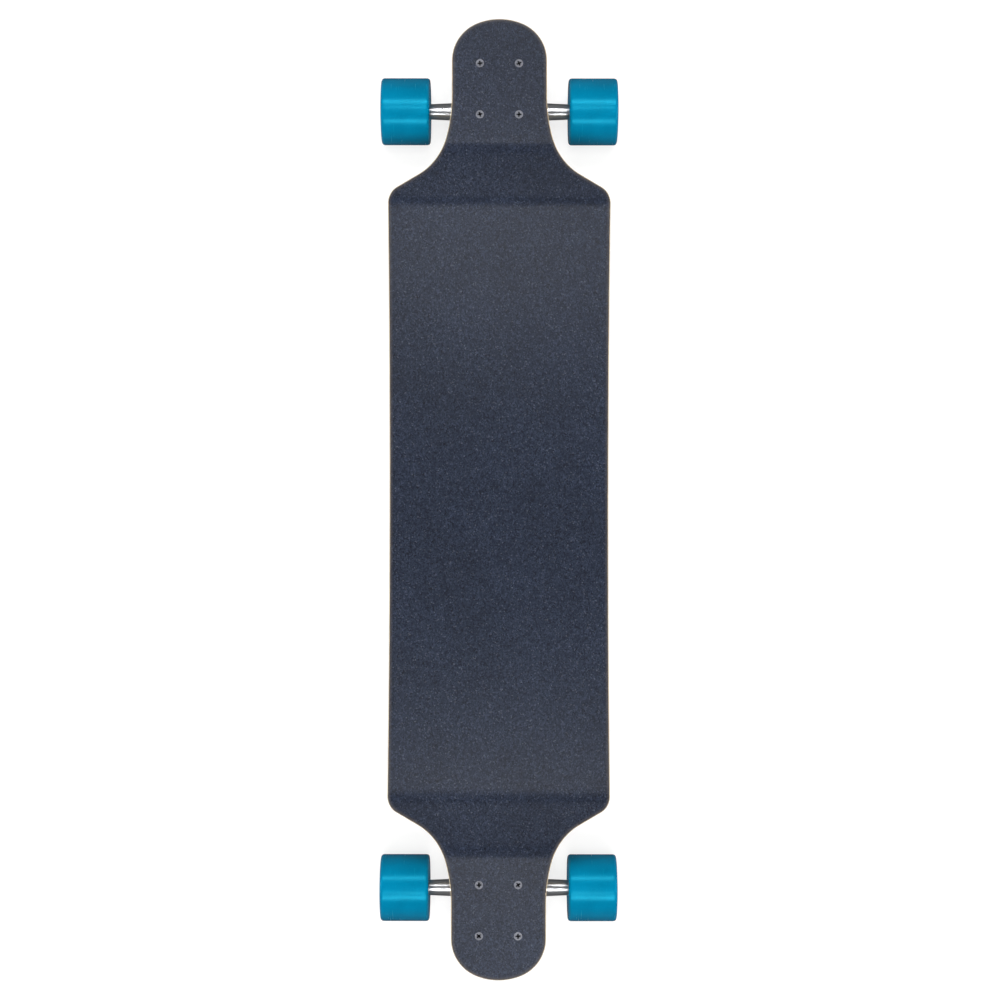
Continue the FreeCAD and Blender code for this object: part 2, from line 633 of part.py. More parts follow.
for side in (1, -1):
    nut = arm_nut.copy()
    nut.rotate(ORIGIN, X_AXIS, -90 * side)
    nut.translate(vec(0, side * NUT_Y, 0))
    axle_nuts.append(nut)
    for start in (HANGER_WIDTH / 2, WHEEL_Y + STACK_HALF):
        ends = sorted((side * start, side * (start + SPEED_RING_THICKNESS)))
        speed_rings.append(washer_ring(SPEED_RING_R, *ends))
    middle = side * WHEEL_Y
    spacers.append(washer_ring(SPACER_R, middle - SPACER_LENGTH / 2, middle + SPACER_LENGTH / 2))
    pair = at_bearings(make_inner_ring())
    pair.translate(vec(0, side * WHEEL_Y, 0))
    inner_rings += pair.Solids

for label, end, turns in (("front", 1, BOLT_TURNS_FRONT), ("rear", -1, BOLT_TURNS_REAR)):
    bolts, nuts = [], []
    for (x, y), turned in zip(bolt_places(), turns):
        bolt = make_bolt(turned)
        bolt.translate(vec(x, y, head_z - MOUNT_Z))
        bolts.append(bolt)
        nut = lock_nut(NUT_FLATS, NUT_HEIGHT, BOLT_R + NUT_BORE_GAP)
        nut.rotate(ORIGIN, X_AXIS, 180)
        nut.translate(vec(x, y, -PLATE_THICKNESS))
        nuts.append(nut)
    keep(label + "_truck_bolts", truck_frame(group(bolts), end))
    keep(label + "_truck_nuts", truck_frame(group(nuts), end))
    keep(label + "_baseplate", truck_frame(baseplate, end))
    keep(label + "_pivot_cup", truck_frame(steered(make_pivot_cup()), end))
    keep(label + "_kingpin", truck_frame(kingpin, end))
    keep(label + "_kingpin_nut", truck_frame(steered(kingpin_nut), end))
    keep(label + "_board_side_bushing", truck_frame(steered(board_bushing), end))
    keep(label + "_road_side_bushing", truck_frame(steered(road_bushing), end))
    keep(label + "_board_side_washer", truck_frame(steered(board_washer), end))
    keep(label + "_road_side_washer", truck_frame(steered(road_washer), end))
    keep(label + "_hanger", truck_frame(hanger, end))
    keep(label + "_axle", truck_frame(at_axle(axle), end))
    keep(label + "_axle_nuts", truck_frame(at_axle(group(axle_nuts)), end))
    keep(label + "_speed_rings", truck_frame(at_axle(group(speed_rings)), end))
    keep(label + "_bearing_spacers", truck_frame(at_axle(group(spacers)), end))
    keep(label + "_bearing_inner_rings", truck_frame(at_axle(group(inner_rings)), end))
    # Each wheel with its two bearings
    for hand, side in (("left", 1), ("right", -1)):
        wheel = label + "_" + hand + "_"
        keep(wheel + "tyre", at_wheel(make_tyre(), end, side))
        keep(wheel + "wheel_core", at_wheel(make_core(), end, side))
        keep(wheel + "bearing_outer_rings", at_wheel(at_bearings(make_outer_ring()), end, side))
        keep(wheel + "bearing_shields", at_wheel(at_bearings(make_shields()), end, side))
        keep(wheel + "bearing_balls", at_wheel(at_bearings(make_balls()), end, side))
        keep(wheel + "bearing_cages", at_wheel(at_bearings(make_cage()), end, side))
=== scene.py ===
"""Longboard skateboard with a pressed maple deck, gritted top, two trucks and four cast wheels."""

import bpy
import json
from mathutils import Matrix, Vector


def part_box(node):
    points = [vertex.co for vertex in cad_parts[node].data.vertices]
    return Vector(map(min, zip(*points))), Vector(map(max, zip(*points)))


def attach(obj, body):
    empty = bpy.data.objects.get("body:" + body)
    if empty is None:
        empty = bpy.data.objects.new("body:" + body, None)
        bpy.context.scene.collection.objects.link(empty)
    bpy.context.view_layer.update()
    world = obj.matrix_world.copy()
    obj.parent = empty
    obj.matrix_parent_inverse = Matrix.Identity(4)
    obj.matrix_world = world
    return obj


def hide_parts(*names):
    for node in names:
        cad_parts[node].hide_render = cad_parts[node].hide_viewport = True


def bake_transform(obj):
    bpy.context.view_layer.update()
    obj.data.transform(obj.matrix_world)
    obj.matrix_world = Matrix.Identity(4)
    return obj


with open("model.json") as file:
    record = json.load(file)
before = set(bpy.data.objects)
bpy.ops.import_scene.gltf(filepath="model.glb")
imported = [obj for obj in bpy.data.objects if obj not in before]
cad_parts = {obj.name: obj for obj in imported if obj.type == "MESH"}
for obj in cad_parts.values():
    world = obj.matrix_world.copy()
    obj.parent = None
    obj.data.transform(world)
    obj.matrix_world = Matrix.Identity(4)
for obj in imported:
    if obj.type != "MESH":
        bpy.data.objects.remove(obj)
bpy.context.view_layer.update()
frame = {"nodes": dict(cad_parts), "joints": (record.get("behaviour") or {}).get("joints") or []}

import json
import math

import bmesh
import bpy
import numpy
from bpy.props import FloatProperty, FloatVectorProperty, IntProperty, PointerProperty
from mathutils import Matrix, Vector

bl_info = {
    "name": "Longboard Skateboard",
    "version": (1, 0, 0),
    "blender": (4, 5, 0),
    "location": "View3D > Sidebar > Longboard",
    "description": "Builds a dropped longboard with its trucks and wheels on a packed CAD frame",
    "category": "Add Mesh",
}

MM = 0.001
SHARP = math.radians(35)  # Edges that turn by more stay sharp
ENDS = ("front", "rear")
WHEELS = tuple(f"{end}_{side}" for end in ENDS for side in ("left", "right"))
DECK_LOW, DECK_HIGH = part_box("deck")
GRIP_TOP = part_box("grip_tape")[1].z
TYRE_LOW, TYRE_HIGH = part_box("front_left_tyre")
TYRE_RADIUS = (TYRE_HIGH.z - TYRE_LOW.z) / 2
CORE_LOW, CORE_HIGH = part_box("front_left_wheel_core")
# The nodes that materials use most, and the sockets of a Mix node that mixes colours
MATH, RANGE, MIX, NOISE = "ShaderNodeMath", "ShaderNodeMapRange", "ShaderNodeMix", "ShaderNodeTexNoise"
SHARE, FROM, TO, MIXED = 0, 6, 7, 2


# ---------------------------------------------------------------- small tools

def linear(code):
    """sRGB hex colour as linear red, green, blue and alpha."""
    shares = [int(code[i:i + 2], 16) / 255 for i in (1, 3, 5)]
    return tuple(c / 12.92 if c <= 0.04045 else ((c + 0.055) / 1.055) ** 2.4 for c in shares) + (1.0,)


def per(size_mm):
    """Pattern scale that gives one repeat in so many millimetres."""
    return 1000.0 / size_mm


def feed(tree, node, links):
    """Sets inputs by name, by number or in their order, each to a socket, a node's first output or a value."""
    for place, source in links.items() if isinstance(links, dict) else enumerate(links):
        if isinstance(source, bpy.types.Node):
            source = source.outputs[0]
        if isinstance(source, bpy.types.NodeSocket):
            tree.links.new(source, node.inputs[place])
        else:
            node.inputs[place].default_value = source


def add(tree, kind, links=(), **settings):
    """Adds a node with its settings and feeds its inputs."""
    node = tree.nodes.new(kind)
    for name, value in settings.items():
        setattr(node, name, value)
    feed(tree, node, links)
    return node


def new_material(name):
    """Empty material: gives the material, its tree and its shader."""
    material = bpy.data.materials.new(name)
    material.use_nodes = True
    return material, material.node_tree, material.node_tree.nodes["Principled BSDF"]


def new_object(name, data):
    """Object at the origin of the scene."""
    made = bpy.data.objects.new(name, data)
    bpy.context.scene.collection.objects.link(made)
    return made


def new_mesh(name, made):
    """Plain mesh from a finished bmesh."""
    mesh = bpy.data.meshes.new(name)
    made.to_mesh(mesh)
    made.free()
    return mesh


def shade_smooth(mesh):
    """Smooth shading, with sharp edges kept."""
    mesh.polygons.foreach_set("use_smooth", [True] * len(mesh.polygons))
    mesh.set_sharp_from_angle(angle=SHARP)


def new_piece(name, mesh, material):
    """Smooth mesh object with one material."""
    piece = new_object(name, mesh)
    mesh.materials.clear()
    mesh.materials.append(material)
    shade_smooth(mesh)
    return piece


def plain_mesh(piece):
    """Applies the piece's modifiers and removes them."""
    depsgraph = bpy.context.evaluated_depsgraph_get()
    mesh = bpy.data.meshes.new_from_object(piece.evaluated_get(depsgraph), preserve_all_data_layers=True,
                                           depsgraph=depsgraph)
    piece.modifiers.clear()
    piece.data = mesh
    return mesh


def paint(material, *names):
    """Gives CAD nodes a finished material in all their slots."""
    for name in names:
        for slot in frame["nodes"][name].material_slots:
            slot.material = material


def both_ends(*pieces):
    """Names of these pieces at the front and at the rear truck."""
    return [f"{end}_{piece}" for end in ENDS for piece in pieces]


def softened(corners, steps):
    """Section line through (along, radius, round) corners, each corner rounded off over its length."""
    line = []
    for i, (along, radius, cut) in enumerate(corners):
        here = Vector((along, radius))
        if not cut:
            line.append((along, radius))
            continue
        before = Vector(corners[i - 1][:2])
        after = Vector(corners[(i + 1) % len(corners)][:2])
        start = here + (before - here).normalized() * cut
        end = here + (after - here).normalized() * cut
        for k in range(steps + 1):
            t = k / steps
            line.append(tuple(start * (1 - t) ** 2 + here * 2 * t * (1 - t) + end * t ** 2))
    return line


def turned_mesh(name, section, place, facets, closed=True):
    """Spins (along, radius) points about local Z, keeps local places as an attribute, then places the mesh."""
    made = bmesh.new()
    local = made.verts.layers.float_vector.new("turned")
    rings = []
    for along, radius in section:
        ring = []
        for k in range(facets):
            angle = 2 * math.pi * k / facets
            at = Vector((radius * math.cos(angle), radius * math.sin(angle), along))
            vert = made.verts.new(place @ at)
            vert[local] = at
            ring.append(vert)
        rings.append(ring)
    following_rings = rings[1:] + rings[:1] if closed else rings[1:]
    for ring, following in zip(rings, following_rings):
        for k in range(facets):
            n = (k + 1) % facets
            made.faces.new((ring[k], ring[n], following[n], following[k]))
    bmesh.ops.remove_doubles(made, verts=made.verts, dist=1e-7)
    bmesh.ops.recalc_face_normals(made, faces=made.faces)
    return new_mesh(name, made)


def steer_place(end):
    """Steering frame of one truck: X along the steering axis, up and outward, Z along the kingpin to its nut."""
    joint = next(j for j in frame["joints"] if j["name"] == f"{end}_steer")
    axis = Vector(joint["axis"]).normalized()
    across = Vector((0, -1, 0)) if axis.x > 0 else Vector((0, 1, 0))
    down = axis.cross(across)
    turn = Matrix((axis, across, down)).transposed().to_4x4()
    return Matrix.Translation(joint["pos_m"]) @ turn


# ---------------------------------------------------------------- settings

COLOUR = {"subtype": "COLOR", "size": 4, "min": 0, "max": 1}


class BoardSettings(bpy.types.PropertyGroup):
    """Sizes and colours of the deck and its griptape."""
    neck_width: FloatProperty(name="Neck width", description="Width of the two ends over the trucks",
                              default=100.6 * MM, unit="LENGTH")
    platform_width: FloatProperty(name="Platform width", description="Width at the shoulders",
                                  default=DECK_HIGH.y - DECK_LOW.y, unit="LENGTH")
    waist_narrowing: FloatProperty(name="Waist narrowing", description="Width lost at the middle",
                                   default=4.2 * MM, unit="LENGTH")
    shoulder_x: FloatProperty(name="Shoulder place", description="From the middle to the widest point",
                              default=316 * MM, unit="LENGTH")
    nose_radius: FloatProperty(name="Nose radius", description="Radius across the tip",
                               default=63.5 * MM, unit="LENGTH")
    corner_radius: FloatProperty(name="Nose corner radius", description="Radius from tip to neck",
                                 default=42.3 * MM, unit="LENGTH")
    lead_radius: FloatProperty(name="Lead-in radius", description="First, wide curve out of the neck",
                               default=169 * MM, unit="LENGTH")
    lead_angle: FloatProperty(name="Lead-in angle", description="Turn of the lead-in curve",
                              default=math.radians(15), subtype="ANGLE")
    flare_radius: FloatProperty(name="Flare radius", description="Hollow curve of the wheel cut-out",
                                default=61.5 * MM, unit="LENGTH")
    flare_angle: FloatProperty(name="Flare angle", description="Steepest angle of the cut-out",
                               default=math.radians(61), subtype="ANGLE")
    shoulder_radius: FloatProperty(name="Shoulder radius", description="Rounding of the shoulders",
                                   default=19.2 * MM, unit="LENGTH")
    thickness: FloatProperty(name="Deck thickness", description="Height of the glued veneers",
                             default=11.2 * MM, unit="LENGTH")
    edge_radius: FloatProperty(name="Deck edge radius", description="Rounding of the sanded lower edge",
                               default=1.2 * MM, unit="LENGTH")
    flat_x: FloatProperty(name="Platform half length", description="From the middle to the first bend",
                          default=312 * MM, unit="LENGTH")
    slope: FloatProperty(name="Drop angle", description="Angle of the slopes between platform and necks",
                         default=math.radians(20), subtype="ANGLE")
    low_bend: FloatProperty(name="Low bend radius", description="Bend from platform to slope, underside",
                            default=45 * MM, unit="LENGTH")
    high_bend: FloatProperty(name="High bend radius", description="Bend from slope to neck, underside",
                             default=30 * MM, unit="LENGTH")
    plies: IntProperty(name="Plies", description="Number of veneers", default=9, min=3)
    bolt_head: FloatProperty(name="Bolt head", description="Radius of the countersunk heads",
                             default=4.3 * MM, unit="LENGTH")
    grip_inset: FloatProperty(name="Griptape inset", description="Bare wood round the griptape",
                              default=0.7 * MM, unit="LENGTH")
    maple: FloatVectorProperty(name="Maple", description="Varnished veneer", default=linear("#D0C2A6"), **COLOUR)
    grit: FloatVectorProperty(name="Grit", description="Resin-bound grit", default=linear("#171D2B"), **COLOUR)


class WheelSettings(bpy.types.PropertyGroup):
    """Sizes and colours of the wheels."""
    lip_radius: FloatProperty(name="Lip radius", description="Rounding from tread to face",
                              default=4 * MM, unit="LENGTH")
    urethane: FloatVectorProperty(name="Urethane", description="Cast tyre", default=linear("#007398"), **COLOUR)
    core: FloatVectorProperty(name="Core", description="Moulded nylon core", default=linear("#DEDCD4"), **COLOUR)


class TruckSettings(bpy.types.PropertyGroup):
    """Sizes and colours of the trucks."""
    bushing_bulge: FloatProperty(name="Bushing bulge", description="Swell of the squeezed bushings",
                                 default=0.45 * MM, unit="LENGTH")
    hanger: FloatVectorProperty(name="Hanger", description="Polished aluminium",
                                default=linear("#CFD0D3"), **COLOUR)
    baseplate: FloatVectorProperty(name="Baseplate", description="Tumbled aluminium",
                                   default=linear("#B4B6BA"), **COLOUR)
    hardware: FloatVectorProperty(name="Hardware", description="Zinc-plated steel",
                                  default=linear("#CDD0D4"), **COLOUR)
    bushing: FloatVectorProperty(name="Bushing", description="Cast urethane bushings",
                                 default=linear("#1D1E22"), **COLOUR)


class StageSettings(bpy.types.PropertyGroup):
    """Floor, lights and camera."""
    camera_height: FloatProperty(name="Camera height", description="Height of the lens over the floor",
                                 default=2.314, unit="LENGTH")
    lens: FloatProperty(name="Lens", description="Focal length in millimetres", default=75.0)
    key_power: FloatProperty(name="Key power", description="Watts of the broad light above", default=65.0)
    sheen_power: FloatProperty(name="Sheen power", description="Watts of each narrow light over an end",
                               default=0.34)
    softbox_power: FloatProperty(name="Softbox power", description="Watts of each softbox past the ends",
                                 default=22.0)
    fill_power: FloatProperty(name="Fill power", description="Watts of each light beside the board", default=22.0)
    floor: FloatVectorProperty(name="Floor", description="Pale studio floor", default=linear("#959594"), **COLOUR)


# ---------------------------------------------------------------- materials
# A Map Range lists its value, the range that this comes from and the range that it is turned to.

def varnished_maple(board):
    """Rotary-cut maple veneers, glued and pressed, under satin varnish: long pores and broad figure on the
    faces, pale and tan plies with thin glue lines on the sanded edge."""
    material, tree, shader = new_material("varnished_maple_laminate")
    # Places in the flat blank, so that the grain follows the pressed sheet
    place = add(tree, "ShaderNodeAttribute", attribute_name="blank").outputs["Vector"]
    # Pores about 1.4 mm wide and 60 mm long, figure about 22 mm wide and 300 mm long
    along = add(tree, "ShaderNodeMapping", {"Vector": place, "Scale": (0.023, 1, 1)})
    pores = add(tree, NOISE, {"Vector": along, "Scale": per(1.4), "Detail": 5.0, "Roughness": 0.62})
    broad = add(tree, "ShaderNodeMapping", {"Vector": place, "Scale": (0.07, 1, 1)})
    figure = add(tree, NOISE, {"Vector": broad, "Scale": per(22), "Detail": 3.0, "Distortion": 1.4})
    pore_share = add(tree, RANGE, (pores, 0.42, 0.7, 0.0, 0.55))
    figure_share = add(tree, RANGE, (figure, 0.35, 0.68, 0.0, 0.5))
    # Plies at the edge: the attribute runs from 0 at the underside to 1 at the top
    height = add(tree, "ShaderNodeAttribute", attribute_name="ply").outputs["Fac"]
    inside = add(tree, "ShaderNodeClamp", (height, 0.02, 0.98))
    layer = add(tree, MATH, (inside, float(board.plies)), operation="MULTIPLY")
    parity = add(tree, MATH, (layer, 2.0), operation="MODULO")
    crossed = add(tree, MATH, (parity, 1.0), operation="GREATER_THAN")
    cross_share = add(tree, MATH, (crossed, 0.6), operation="MULTIPLY")
    to_glue = add(tree, MATH, (layer, 1.0), operation="PINGPONG")
    glue = add(tree, MATH, (to_glue, 0.07), operation="LESS_THAN")
    glue_share = add(tree, MATH, (glue, 0.7), operation="MULTIPLY")
    # Figure, pores, crossed plies and glue lines, each over the one before
    colour = tuple(board.maple)
    for share, code in ((figure_share, "#C5A880"), (pore_share, "#A0825C"), (cross_share, "#B48D60"),
                        (glue_share, "#7D5C3A")):
        colour = add(tree, MIX, {SHARE: share, FROM: colour, TO: linear(code)}, data_type="RGBA").outputs[MIXED]
    sheen = add(tree, RANGE, (pores, 0.3, 0.7, 0.3, 0.46))
    raised = add(tree, "ShaderNodeBump", {"Height": pores, "Strength": 0.25, "Distance": 0.2 * MM})
    feed(tree, shader, {"Base Color": colour, "Roughness": sheen, "Normal": raised, "Coat Weight": 0.3,
                        "Coat Roughness": 0.18})
    return material


def silicon_carbide_griptape(board):
    """Sharp black grit in dark blue-grey resin on a cloth sheet: dull, speckled, with stray bright grains and
    a filed, browned border."""
    material, tree, shader = new_material("silicon_carbide_griptape")
    place = add(tree, "ShaderNodeTexCoord").outputs["Object"]
    # Grit of 0.25 mm is drawn 1.2 mm wide, because finer grains would not show
    grains = add(tree, "ShaderNodeTexVoronoi", {"Vector": place, "Scale": per(1.2), "Randomness": 1.0})
    tone = add(tree, "ShaderNodeSeparateColor", {"Color": grains.outputs["Color"]}).outputs
    clumps = add(tree, NOISE, {"Vector": place, "Scale": per(3.2), "Detail": 4.0, "Roughness": 0.7})
    drifts = add(tree, NOISE, {"Vector": place, "Scale": per(90), "Detail": 3.0})
    body = add(tree, MIX, {SHARE: tone["Red"], FROM: linear("#05080F"), TO: linear("#313A4D")},
               data_type="RGBA")
    clump_share = add(tree, RANGE, (clumps, 0.34, 0.62, 0.1, 0.9))
    resin = add(tree, MIX, {SHARE: clump_share, FROM: tuple(board.grit), TO: body.outputs[MIXED]},
                data_type="RGBA")
    bright = add(tree, RANGE, (tone["Green"], 0.94, 1.0, 0.0, 0.13))
    speckled = add(tree, MIX, {SHARE: bright, FROM: resin.outputs[MIXED], TO: linear("#8C94A4")},
                   data_type="RGBA")
    drift_share = add(tree, RANGE, (drifts, 0.3, 0.7, 0.88, 1.12))
    lit = add(tree, "ShaderNodeVectorMath", {0: speckled.outputs[MIXED], "Scale": drift_share}, operation="SCALE")
    # Filed border, from the rim distance kept in the mesh
    rim = add(tree, "ShaderNodeAttribute", attribute_name="rim").outputs["Fac"]
    filed = add(tree, RANGE, (rim, 0.6 * MM, 3.4 * MM, 0.75, 0.0))
    ragged = add(tree, MATH, (filed, clumps), operation="MULTIPLY")
    border = add(tree, MATH, (ragged, 1.7), operation="MULTIPLY", use_clamp=True)
    colour = add(tree, MIX, {SHARE: border, FROM: lit, TO: linear("#4A4542")}, data_type="RGBA")
    dull = add(tree, RANGE, (tone["Blue"], 0.0, 1.0, 0.6, 0.85))
    tips = add(tree, MATH, (grains.outputs["Distance"], clumps), operation="ADD")
    raised = add(tree, "ShaderNodeBump", {"Height": tips, "Strength": 0.55, "Distance": 0.6 * MM}, invert=True)
    feed(tree, shader, {"Base Color": colour.outputs[MIXED], "Roughness": dull, "Normal": raised,
                        "Specular IOR Level": 0.1, "Coat Weight": 0.21, "Coat Roughness": 0.26})
    return material


def cast_wheel_urethane(wheel):
    """Poured polyurethane, blue all through, its tread ground true: soft gloss, faint turning lines, scuffs."""
    material, tree, shader = new_material("cast_wheel_urethane")
    local = add(tree, "ShaderNodeAttribute", attribute_name="turned").outputs["Vector"]
    split = add(tree, "ShaderNodeSeparateXYZ", {"Vector": local}).outputs
    flat = add(tree, "ShaderNodeCombineXYZ", {"X": split["X"], "Y": split["Y"]})
    radius = add(tree, "ShaderNodeVectorMath", (flat,), operation="LENGTH").outputs["Value"]
    # The tread starts 1.6 mm inside the largest radius and is full from 0.2 mm
    tread = add(tree, RANGE, (radius, TYRE_RADIUS - 1.6 * MM, TYRE_RADIUS - 0.2 * MM))
    clouds = add(tree, NOISE, {"Vector": local, "Scale": per(28), "Detail": 3.0})
    fine = add(tree, NOISE, {"Vector": local, "Scale": per(2.2), "Detail": 5.0, "Roughness": 0.65})
    # Grinding lines 0.5 mm apart are drawn 1.3 mm apart, because finer ones would not show
    band = add(tree, "ShaderNodeMapping", {"Vector": local, "Scale": (0.06, 0.06, 1)})
    lines = add(tree, NOISE, {"Vector": band, "Scale": per(1.3), "Detail": 3.0})
    shade = add(tree, RANGE, (clouds, 0.3, 0.7, 0.9, 1.1))
    base = add(tree, "ShaderNodeVectorMath", {0: tuple(wheel.urethane)[:3], "Scale": shade}, operation="SCALE")
    scuff = add(tree, RANGE, (fine, 0.55, 0.75, 0.0, 0.3))
    scuffed = add(tree, MATH, (scuff, tread), operation="MULTIPLY")
    colour = add(tree, MIX, {SHARE: scuffed, FROM: base, TO: linear("#0A8FB8")}, data_type="RGBA")
    gloss = add(tree, RANGE, (lines, 0.3, 0.7, 0.235, 0.275))
    ground = add(tree, MATH, (lines, tread), operation="MULTIPLY")
    skin = add(tree, MATH, (fine, 0.35, ground), operation="MULTIPLY_ADD")
    raised = add(tree, "ShaderNodeBump", {"Height": skin, "Strength": 0.03, "Distance": 0.2 * MM})
    feed(tree, shader, {"Base Color": colour.outputs[MIXED], "Roughness": gloss, "Normal": raised, "IOR": 1.5,
                        "Specular IOR Level": 0.5, "Specular Tint": linear("#3FE4FF")})
    return material


def metal(name, colour, tint, grain_mm, smooth, rough, relief, thread=None, pitch_mm=0.8):
    """Bare or plated metal: faint tint clouds, uneven polish and the skin that its making left; a thread, given
    as its direction, mirrored at X 0, shows as rolled ridges."""
    material, tree, shader = new_material(name)
    place = add(tree, "ShaderNodeTexCoord").outputs["Object"]
    clouds = add(tree, NOISE, {"Vector": place, "Scale": per(14), "Detail": 4.0})
    skin = add(tree, NOISE, {"Vector": place, "Scale": per(grain_mm), "Detail": 4.0, "Roughness": 0.6})
    cloud_share = add(tree, RANGE, (clouds, 0.35, 0.65, 0.0, 0.6))
    shade = add(tree, MIX, {SHARE: cloud_share, FROM: tuple(colour), TO: linear(tint)}, data_type="RGBA")
    uneven = add(tree, MATH, (clouds, 0.5, skin), operation="MULTIPLY_ADD")
    polish = add(tree, RANGE, (uneven, 0.5, 1.0, smooth, rough))
    raised = add(tree, "ShaderNodeBump", {"Height": skin, "Strength": relief, "Distance": 0.2 * MM})
    if thread:
        split = add(tree, "ShaderNodeSeparateXYZ", {"Vector": place}).outputs
        mirrored = add(tree, MATH, (split["X"],), operation="ABSOLUTE")
        folded = add(tree, "ShaderNodeCombineXYZ", (mirrored, split["Y"], split["Z"]))
        reach = add(tree, "ShaderNodeVectorMath", (folded, thread), operation="DOT_PRODUCT").outputs["Value"]
        turns = add(tree, MATH, (reach, pitch_mm * MM / 2), operation="PINGPONG")
        ridge = add(tree, MATH, (turns, 2 / (pitch_mm * MM)), operation="MULTIPLY")
        raised = add(tree, "ShaderNodeBump", {"Height": ridge, "Normal": raised, "Strength": 0.8,
                                              "Distance": 0.4 * MM})
    feed(tree, shader, {"Base Color": shade.outputs[MIXED], "Roughness": polish, "Normal": raised,
                        "Metallic": 1.0})
    return material


def moulded(name, colour, second, grain_mm, smooth, rough, relief):
    """Moulded or cast polymer: close-toned mottling, uneven dullness and a fine skin from the mould."""
    material, tree, shader = new_material(name)
    place = add(tree, "ShaderNodeTexCoord").outputs["Object"]
    clouds = add(tree, NOISE, {"Vector": place, "Scale": per(9), "Detail": 3.0})
    skin = add(tree, NOISE, {"Vector": place, "Scale": per(grain_mm), "Detail": 4.0, "Roughness": 0.6})
    share = add(tree, RANGE, (clouds, 0.35, 0.65))
    shade = add(tree, MIX, {SHARE: share, FROM: tuple(colour), TO: linear(second)}, data_type="RGBA")
    dull = add(tree, RANGE, (skin, 0.3, 0.7, smooth, rough))
    raised = add(tree, "ShaderNodeBump", {"Height": skin, "Strength": relief, "Distance": 0.2 * MM})
    feed(tree, shader, {"Base Color": shade.outputs[MIXED], "Roughness": dull, "Normal": raised})
    return material


def studio_paper(stage):
    """Matt white studio paper, near even, with a glow that keeps the shadows faint."""
    material, tree, shader = new_material("studio_paper")
    place = add(tree, "ShaderNodeTexCoord").outputs["Object"]
    fibre = add(tree, NOISE, {"Vector": place, "Scale": per(6), "Detail": 3.0})
    share = add(tree, RANGE, (fibre, 0.0, 1.0, 0.0, 0.15))
    shade = add(tree, MIX, {SHARE: share, FROM: tuple(stage.floor), TO: linear("#8E8E8C")}, data_type="RGBA")
    # The glow is for the eye, and lights the board's sides only in part
    seen = add(tree, "ShaderNodeLightPath").outputs["Is Camera Ray"]
    glow = add(tree, MIX, {"Factor": seen, "A": 0.12, "B": 0.74})
    feed(tree, shader, {"Base Color": shade.outputs[MIXED], "Roughness": 0.9, "Specular IOR Level": 0.1,
                        "Emission Color": (1, 1, 1, 1), "Emission Strength": glow})
    return material


# ---------------------------------------------------------------- deck and griptape

def half_outline(board, inset):
    """Left half of the deck outline from nose tip to tail tip, drawn inward by the inset."""
    half = (DECK_HIGH.x - DECK_LOW.x) / 2
    nose = math.asin((board.neck_width / 2 - board.corner_radius) / (board.nose_radius - board.corner_radius))
    nose_length = board.nose_radius - (board.nose_radius - board.corner_radius) * math.cos(nose)
    lead, flare = board.lead_angle, board.flare_angle
    rise = board.lead_radius * (1 - math.cos(lead)) + board.flare_radius * (math.cos(lead) - math.cos(flare))
    rise += board.shoulder_radius * (1 - math.cos(flare))
    straight = ((board.platform_width - board.neck_width) / 2 - rise) / math.sin(flare)
    run = board.lead_radius * math.sin(lead) + board.flare_radius * (math.sin(flare) - math.sin(lead))
    run += straight * math.cos(flare) + board.shoulder_radius * math.sin(flare)
    neck = half - nose_length - board.shoulder_x - run
    waist = 2 * math.atan(board.waist_narrowing / 2 / board.shoulder_x)
    waist_radius = board.shoulder_x / math.sin(waist) - board.shoulder_radius
    # Each step: radius or length, turn to the left, number of points
    steps = ((board.nose_radius - inset, nose, 10),
             (board.corner_radius - inset, math.pi / 2 - nose, 14),
             (neck, 0, 10),
             (board.lead_radius + inset, -lead, 24),
             (board.flare_radius + inset, lead - flare, 24),
             (straight, 0, 5),
             (board.shoulder_radius - inset, flare + waist, 24),
             (waist_radius + inset, -waist, 64))
    at, heading = Vector((half - inset, 0)), math.pi / 2
    quarter = [at.copy()]
    for size, angle, count in steps:
        start, facing = at.copy(), heading
        for k in range(1, count + 1):
            if angle:
                to_centre = facing + math.copysign(math.pi / 2, angle)
                around = facing - math.copysign(math.pi / 2, angle) + angle * k / count
                centre = start + Vector((math.cos(to_centre), math.sin(to_centre))) * size
                at = centre + Vector((math.cos(around), math.sin(around))) * size
            else:
                at = start + Vector((math.cos(facing), math.sin(facing))) * size * k / count
            quarter.append(at.copy())
        heading = facing + angle
    return [(p.x, p.y) for p in quarter] + [(-p.x, p.y) for p in reversed(quarter[:-1])]


def flat_blank(name, board, rings, columns=10):
    """Closed flat sheet from rings of (inset, lift), the first under it and the last on top."""
    made = bmesh.new()
    walls = []
    for inset, lift in rings:
        points = half_outline(board, inset)
        left = [made.verts.new((x, max(y, 0), lift)) for x, y in points]
        right = [made.verts.new((x, -max(y, 0), lift)) for x, y in points]
        walls.append((left, right))
    for (left, right), (next_left, next_right) in zip(walls, walls[1:]):
        for i in range(len(left) - 1):
            made.faces.new((left[i], left[i + 1], next_left[i + 1], next_left[i]))
            made.faces.new((right[i], next_right[i], next_right[i + 1], right[i + 1]))
    for left, right in (walls[0], walls[-1]):
        lines = [left]
        for k in range(1, columns):
            lines.append([made.verts.new(a.co.lerp(b.co, k / columns)) for a, b in zip(left, right)])
        lines.append(right)
        for near, far in zip(lines, lines[1:]):
            for i in range(len(near) - 1):
                made.faces.new((near[i], far[i], far[i + 1], near[i + 1]))
    bmesh.ops.remove_doubles(made, verts=made.verts, dist=1e-6)
    bmesh.ops.dissolve_degenerate(made, edges=made.edges, dist=1e-7)
    bmesh.ops.recalc_face_normals(made, faces=made.faces)
    return new_mesh(name, made)


